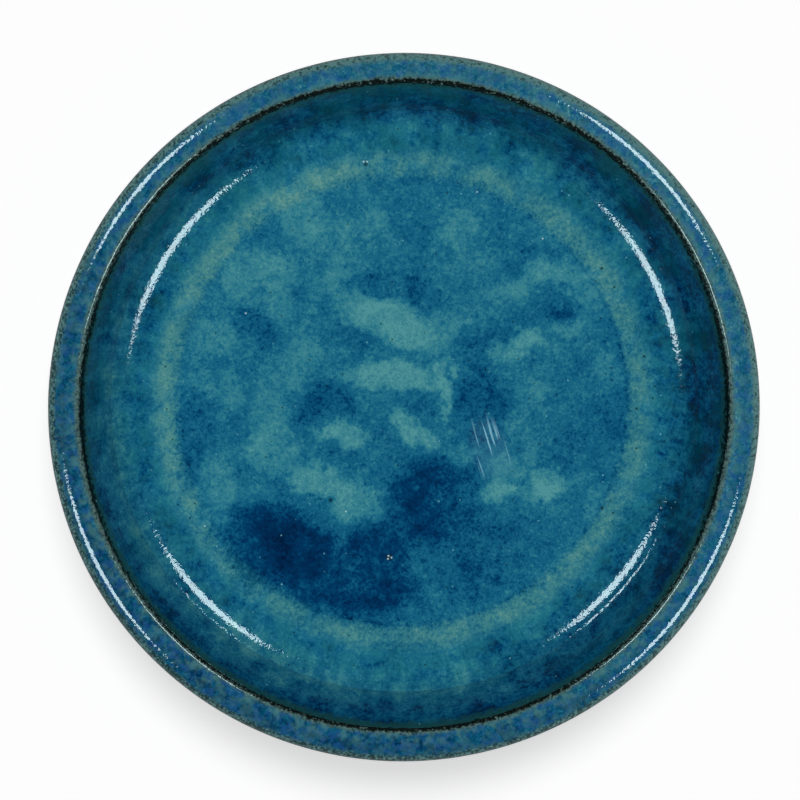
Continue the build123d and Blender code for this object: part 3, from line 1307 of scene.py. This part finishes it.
@dataclass
class Dish:
    """The turned clay dish, in millimetres."""

    seat_radius: float = 53.0
    seat_height: float = 7.2
    ring_inner: float = 55.6
    ring_height: float = 8.0
    cove_radius: float = 65.4
    crease_radius: float = 69.2
    crease_height: float = 10.6
    crease_rounding: float = 1.6
    edge_radius: float = 75.3
    edge_height: float = 24.5
    edge_rounding: float = 0.8
    edge_lead: float = 0.9
    edge_drop: float = 2.0
    rim_inset: float = 2.5
    shoulder_radius: float = 81.7
    shoulder_rounding: float = 4.0
    corner_radius: float = 73.9
    corner_height: float = 3.4
    corner_rounding: float = 5.0
    foot_outer: float = 62.0
    foot_inner: float = 55.0
    foot_height: float = 2.2
    foot_rounding: float = 0.6
    foot_root: float = 1.0
    ripple: float = 0.05
    turning: Turning = Turning(columns=360, ripple_width=3.0, fray_width=3.0)

    def build(self, tree: bpy.types.GeometryNodeTree) -> bpy.types.Object:
        """Turn the dish.

        Args:
            tree: the tree from wheel_tree.

        Returns:
            The finished piece.
        """
        well = [
            Corner(0.0, self.seat_height),
            Corner(self.seat_radius, self.seat_height, spacing=8.0),
            Corner(self.ring_inner, self.ring_height, spacing=2.0),
            Corner(self.cove_radius, self.ring_height, spacing=4.0),
            Corner(self.crease_radius, self.crease_height, self.crease_rounding, 1.5),
            Corner(self.edge_radius - self.edge_lead, self.edge_height - self.edge_drop, spacing=3.0),
            Corner(self.edge_radius, self.edge_height, self.edge_rounding, 0.15, self.ripple),
        ]
        outside = [
            Corner(self.edge_radius + self.rim_inset, self.edge_height, 0.0, 0.3, self.ripple / 2),
            Corner(self.shoulder_radius, self.edge_height, self.shoulder_rounding, 0.8),
            Corner(self.corner_radius, self.corner_height, self.corner_rounding, 0.5, self.ripple),
            Corner(self.foot_outer, self.foot_height, self.foot_root, 0.45, self.ripple),
            Corner(self.foot_outer, 0.0, self.foot_rounding, 0.25, self.ripple / 2),
            Corner(self.foot_inner, 0.0, self.foot_rounding, 0.5),
            Corner(self.foot_inner, self.foot_height, self.foot_root, 0.25, self.ripple / 2),
            Corner(0.0, self.foot_height, 0.0, 0.6, self.ripple),
        ]
        corners = [replace(corner, off_center=WELL_OFF_CENTER) for corner in well] + outside
        piece = turn_piece("turned_dish", corners, self.turning, tree, Stoneware().material())
        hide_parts("stoneware_body")
        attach(piece, BODY)
        return piece


@dataclass
class WellCoat:
    """The glaze coat that lines the well, in millimetres."""

    floor_height: float = 8.0
    floor_underside: float = 6.9
    seat_radius: float = 53.0
    ring_inner: float = 55.6
    ring_outer: float = 62.0
    ring_height: float = 8.36
    ring_underside: float = 7.7
    step_rounding: float = 12.0
    step_inset: float = 0.2
    cove_start: float = 61.3
    cove_end: float = 68.2
    cove_rounding: float = 12.0
    cove_fit: float = 0.98
    cove_back: float = 65.6
    cove_back_rise: float = 0.1
    crease_radius: float = 68.8
    crease_slope: float = 29.0
    crease_ripple: float = 0.12
    crease_back: float = 0.8
    crease_underside: float = 10.3
    stop_radius: float = 74.92
    stop_height: float = 23.8
    stop_rounding: float = 0.12
    stop_ripple: float = 0.01
    stop_width: float = 0.5
    stop_rise: float = 1.0
    stop_fall: float = 0.35
    fray_out: float = 0.15
    fray_up: float = 0.3
    ripple: float = 0.03
    turning: Turning = Turning(columns=400, ripple_width=7.0, fray_width=2.2)

    def build(self, tree: bpy.types.GeometryNodeTree) -> bpy.types.Object:
        """Turn the coat.

        Args:
            tree: the tree from wheel_tree.

        Returns:
            The finished piece.
        """
        tilt = math.asin((self.cove_end - self.cove_start) / self.cove_rounding)
        cove_corner = self.cove_start + self.cove_rounding * math.tan(tilt / 2)
        cove_top = self.ring_height + self.cove_rounding * (1 - math.cos(tilt))
        pool = (self.crease_radius - self.cove_end) * math.tan(math.radians(self.crease_slope))
        below = self.stop_height - self.stop_rise
        behind = (self.stop_radius + self.stop_width, self.stop_height - self.stop_fall)
        fray = (self.fray_out, self.fray_up)
        corners = [
            Corner(0.0, self.floor_height, ripple=self.ripple),
            Corner(self.seat_radius, self.floor_height, self.step_rounding, 1.6, self.ripple),
            Corner(self.ring_inner, self.ring_height, self.step_rounding, 0.4, self.ripple),
            Corner(cove_corner, self.ring_height, self.cove_rounding * self.cove_fit, 0.3, self.ripple),
            Corner(self.cove_end, cove_top, 0.3, 0.12, self.ripple),
            Corner(self.crease_radius, cove_top + pool, 0.25, 0.12, self.crease_ripple),
            Corner(self.stop_radius - self.stop_width, below, 0.0, 0.5, self.ripple),
            Corner(self.stop_radius, self.stop_height, self.stop_rounding, 0.12, self.stop_ripple, *fray),
            Corner(*behind, 0.0, 0.2, 0.0, *fray),
            Corner(self.crease_radius + self.crease_back, self.crease_underside, spacing=3.0),
            Corner(self.cove_back, self.ring_underside + self.cove_back_rise, spacing=3.0),
            Corner(self.ring_outer, self.ring_underside, spacing=3.0),
            Corner(self.ring_inner + self.step_inset, self.ring_underside, spacing=3.0),
            Corner(self.seat_radius + self.step_inset, self.floor_underside, spacing=2.0),
            Corner(0.0, self.floor_underside, spacing=8.0),
        ]
        corners = [replace(corner, off_center=WELL_OFF_CENTER) for corner in corners]
        piece = turn_piece("well_coat", corners, self.turning, tree, WellGlaze().material())
        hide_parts("well_glaze")
        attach(piece, BODY)
        return piece


@dataclass
class OuterCoat:
    """The glaze coat over the rim, its shoulder and the outer wall, in millimetres."""

    top_height: float = 25.0
    rim_radius: float = 82.5
    stop_radius: float = 75.5
    stop_height: float = 24.85
    stop_ripple: float = 0.01
    stop_width: float = 0.5
    stop_rise: float = 0.95
    lip_rounding: float = 1.4
    lip_fray: float = -0.15
    crown_start: float = 77.1
    crown_lead: float = 3.0
    crown_fray: float = -0.05
    crown_end: float = 78.3
    crown_rounding: float = 5.7
    crown_fall: float = 38.0
    arc_fit: float = 0.999
    lean: float = 23.5
    roll_height: float = 6.3
    roll_rounding: float = 0.4
    roll_width: float = 1.1
    roll_rise: float = 0.45
    roll_fray: tuple[float, float] = (0.1, 0.5)
    roll_back_fray: float = 0.4
    underside: Pairs = ((80.4, 20.2), (78.2, 23.7))
    ripple: float = 0.03
    turning: Turning = Turning(columns=480, ripple_width=5.0, fray_width=2.2)

    def build(self, tree: bpy.types.GeometryNodeTree) -> bpy.types.Object:
        """Turn the coat.

        Args:
            tree: the tree from wheel_tree.

        Returns:
            The finished piece.
        """
        fall, lean = math.radians(self.crown_fall), math.radians(self.lean)
        crown_corner = self.crown_end + self.crown_rounding * math.tan(fall / 2)
        fall_start = Vector((self.crown_end, self.top_height - self.crown_rounding))
        fall_start += self.crown_rounding * Vector((math.sin(fall), math.cos(fall)))
        rounding = (self.rim_radius - fall_start.x) / (1 - math.sin(fall))
        center = fall_start - rounding * Vector((math.sin(fall), math.cos(fall)))
        wall_top = center + rounding * Vector((math.cos(lean), -math.sin(lean)))
        roll = Vector((wall_top.x - (wall_top.y - self.roll_height) * math.tan(lean), self.roll_height))
        reach = rounding * math.tan((math.pi / 2 - fall + lean) / 2)
        shoulder = fall_start + reach * Vector((math.cos(fall), -math.sin(fall)))
        lip = {"fray_out": self.lip_fray, "off_center": WELL_OFF_CENTER}
        crown = {"fray_out": self.crown_fray, "off_center": WELL_OFF_CENTER / 2}
        below = (self.stop_radius - self.stop_width, self.stop_height - self.stop_rise)
        behind = (roll.x - self.roll_width, roll.y + self.roll_rise)
        corners = [
            Corner(*below, 0.0, 0.3, **lip),
            Corner(self.stop_radius, self.stop_height, self.lip_rounding, 0.1, self.stop_ripple, **lip),
            Corner(self.crown_start, self.top_height, self.crown_lead, 0.2, self.ripple, **crown),
            Corner(crown_corner, self.top_height, self.crown_rounding * self.arc_fit, 0.25, self.ripple),
            Corner(shoulder.x, shoulder.y, rounding * self.arc_fit, 0.25, self.ripple),
            Corner(roll.x, roll.y, self.roll_rounding, 0.6, self.ripple, *self.roll_fray),
            Corner(*behind, spacing=0.25, fray_up=self.roll_back_fray),
            Corner(*self.underside[0], spacing=3.0),
            Corner(*self.underside[1], spacing=1.0),
            Corner(*below, **lip),
        ]
        piece = turn_piece("outer_coat", corners, self.turning, tree, RimGlaze().material())
        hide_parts("outer_glaze")
        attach(piece, BODY)
        return piece


@dataclass
class Studio:
    """Floor, lamps, world and camera, in metres and degrees."""

    floor_size: float = 8.0
    floor_colour: str = "dcdcdc"
    glow_colour: str = "ffffff"
    floor_glow: float = 0.66
    floor_reflected: float = 0.35
    softbox_azimuths: tuple[float, ...] = (-39.0, 216.0, 144.0, 37.0)
    softbox_watts: float = 2.05
    softbox_elevation: float = 53.0
    softbox_distance: float = 0.8
    softbox_width: float = 0.26
    softbox_height: float = 0.205
    softbox_colour: str = "f2ffff"
    table_light: float = 1.45
    table_light_spread: float = 25.0
    table_light_elevation: float = 62.0
    room_greys: Tones = ((0.0, "d0d0d0"), (0.12, "b0b0b0"), (0.3, "505050"), (0.5, "242424"))
    camera_distance: float = 0.65
    camera_tilt_up: float = 5.5
    camera_tilt_left: float = 1.8
    camera_target: Place = (-0.0012, 0.0026, 0.022)
    frame_width: float = 0.1854

    def build(self, pieces: list[bpy.types.Object]) -> None:
        """Set the stage, the lamps, the world and the camera.

        Args:
            pieces: the saucer's pieces, which the softboxes light.
        """
        floor = self.floor()
        self.softboxes(pieces)
        self.table_lamp(floor)
        self.room()
        self.camera()

    def floor(self) -> bpy.types.Object:
        """Lay white paper under the saucer, bright to the eye and dimmer where the saucer shades it.

        Returns:
            The floor.
        """
        half = self.floor_size / 2
        corners = [(-half, -half, 0), (half, -half, 0), (half, half, 0), (-half, half, 0)]
        mesh = bpy.data.meshes.new("floor")
        mesh.from_pydata(corners, [], [(0, 1, 2, 3)])
        floor = bpy.data.objects.new("floor", mesh)
        bpy.context.scene.collection.objects.link(floor)
        paper = bpy.data.materials.new("white_paper")
        paper.use_nodes = True
        paper.node_tree.nodes.clear()
        node = partial(add_node, paper.node_tree)
        ray = node("ShaderNodeLightPath")
        seen = {0: ray["Is Glossy Ray"], 1: self.floor_reflected, 2: ray["Is Camera Ray"]}
        seen = node("ShaderNodeMath", seen, operation="MULTIPLY_ADD", use_clamp=True)[0]
        glow = node("ShaderNodeMath", {0: seen, 1: self.floor_glow}, operation="MULTIPLY")[0]
        matt = node("ShaderNodeBsdfDiffuse", {"Color": self.floor_colour})[0]
        glow = node("ShaderNodeEmission", {"Color": self.glow_colour, "Strength": glow})[0]
        both = node("ShaderNodeAddShader", {0: matt, 1: glow})[0]
        node("ShaderNodeOutputMaterial", {"Surface": both})
        mesh.materials.append(paper)
        return floor

    def hang(
        self, lamp: bpy.types.Light, toward: Vector, distance: float, lit: list[bpy.types.Object]
    ) -> None:
        """Hang a lamp that points at the saucer and lights only some objects.

        Args:
            lamp: the lamp.
            toward: the direction from the saucer to the lamp.
            distance: how far away it hangs.
            lit: the objects that it lights.
        """
        group = bpy.data.collections.new("lit_by_" + lamp.name)
        for thing in lit:
            group.objects.link(thing)
        holder = bpy.data.objects.new(lamp.name, lamp)
        holder.location = toward * distance
        holder.rotation_euler = toward.to_track_quat("Z", "Y").to_euler()
        holder.light_linking.receiver_collection = group
        bpy.context.scene.collection.objects.link(holder)

    def table_lamp(self, floor: bpy.types.Object) -> None:
        """Light the floor alone from behind, which leaves the saucer's soft shadow in front of it.

        Args:
            floor: the floor.
        """
        lamp = bpy.data.lights.new("table_light", "SUN")
        lamp.energy = self.table_light
        lamp.angle = math.radians(self.table_light_spread)
        rise = math.radians(self.table_light_elevation)
        self.hang(lamp, Vector((0.0, math.cos(rise), math.sin(rise))), 1.0, [floor])

    def softboxes(self, pieces: list[bpy.types.Object]) -> None:
        """Hang four softboxes round the saucer, high enough to show on its rim and in its cove.

        Args:
            pieces: the saucer's pieces.
        """
        rise = math.radians(self.softbox_elevation)
        for number, azimuth in enumerate(self.softbox_azimuths, 1):
            turn = math.radians(azimuth)
            out = math.cos(rise)
            toward = Vector((math.cos(turn) * out, math.sin(turn) * out, math.sin(rise)))
            lamp = bpy.data.lights.new(f"softbox_{number}", "AREA")
            lamp.shape = "ELLIPSE"
            lamp.size = self.softbox_width
            lamp.size_y = self.softbox_height
            lamp.energy = self.softbox_watts
            lamp.color = linear(self.softbox_colour)[:3]
            self.hang(lamp, toward, self.softbox_distance, pieces)

    def room(self) -> None:
        """Surround the saucer with a room that is white near the floor and dark overhead."""
        world = bpy.data.worlds.new("studio")
        world.use_nodes = True
        world.node_tree.nodes.clear()
        node = partial(add_node, world.node_tree)
        direction = node("ShaderNodeTexCoord")["Generated"]
        up = node("ShaderNodeSeparateXYZ", {0: direction})["Z"]
        shade = node("ShaderNodeValToRGB", {0: up}, stops=self.room_greys)["Color"]
        light = node("ShaderNodeBackground", {"Color": shade, "Strength": 1.0})[0]
        node("ShaderNodeOutputWorld", {"Surface": light})
        bpy.context.scene.world = world

    def camera(self) -> None:
        """Point a long lens at the saucer from almost straight above, as in the photograph."""
        lens = bpy.data.cameras.new("camera")
        lens.lens = lens.sensor_width * self.camera_distance / self.frame_width
        eye = bpy.data.objects.new("camera", lens)
        left, up = math.radians(self.camera_tilt_left), math.radians(self.camera_tilt_up)
        toward = Vector((-math.sin(left), math.sin(up), 1.0)).normalized()
        right = Vector((0.0, 1.0, 0.0)).cross(toward).normalized()
        turn = Matrix((right, toward.cross(right), toward)).transposed()
        eye.location = Vector(self.camera_target) + toward * self.camera_distance
        eye.rotation_euler = turn.to_euler()
        bpy.context.scene.collection.objects.link(eye)
        bpy.context.scene.camera = eye


def main() -> None:
    """Build the saucer and its studio."""
    logging.basicConfig(level=logging.INFO)
    bpy.context.scene.view_settings.view_transform = "Standard"
    tree = wheel_tree()
    pieces = []
    for part in (Dish(), WellCoat(), OuterCoat()):
        pieces.append(part.build(tree))
        log.info("built %s", pieces[-1].name)
    Studio().build(pieces)


if __name__ == "__main__":
    main()
